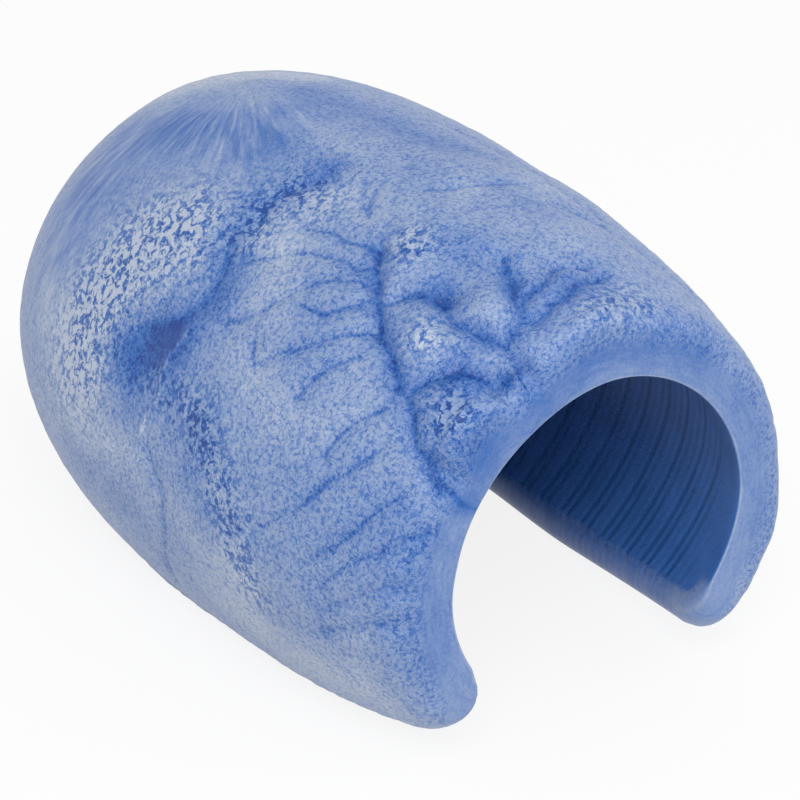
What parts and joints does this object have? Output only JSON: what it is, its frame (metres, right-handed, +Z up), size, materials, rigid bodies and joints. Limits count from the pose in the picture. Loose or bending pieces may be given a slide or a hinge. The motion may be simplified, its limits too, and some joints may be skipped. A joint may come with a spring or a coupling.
{
  "type": "bubbling ornament",
  "caption": "Egg-shaped cast aquarium hood open at the front and below, with a swivelling air inlet behind and a pull-out air stone clipped inside.",
  "frame": {"origin": "bottom centre of the whole object's box, on the surface it stands on", "axes": "+Z up, the mouth faces -Y, the air inlet is on +Y, +X to the right seen from the mouth"},
  "size_m": [0.1139, 0.1698, 0.094],
  "materials": {
    "cast_resin": "satin, dark wash in the creases and dry-brushed high points",
    "black_nylon": "moulded satin",
    "black_rubber": "matt",
    "clear_silicone": "translucent milky, satin",
    "steel": "stainless, brushed",
    "brass": "turned",
    "air_stone": "sintered grit, matt and porous",
    "nipple_plastic": "moulded satin"
  },
  "bodies": {
    "hood": {"hood": "cast_resin", "inlet_bush": "black_nylon", "inlet_grommet": "black_rubber", "cradle_blocks": "cast_resin", "cradle_inserts": "brass", "stone_cradle": "black_nylon", "cradle_washers": "steel", "cradle_screws": "steel"},
    "elbow": {"inlet_elbow": "black_nylon", "elbow_retaining_ring": "steel", "coupling_sleeve": "clear_silicone"},
    "air_stone": {"air_stone": "air_stone", "stone_nipple": "nipple_plastic"}
  },
  "joints": [
    {"name": "elbow_swivel", "type": "hinge", "parent": "hood", "child": "elbow", "pos_m": [0, 0.0731, 0.0127], "axis": [0, 1, 0], "range_deg": [-100, 100]},
    {"name": "stone_pull", "type": "slide", "parent": "hood", "child": "air_stone", "axis": [0, -1, 0], "range_m": [0, 0.045]}
  ]
}
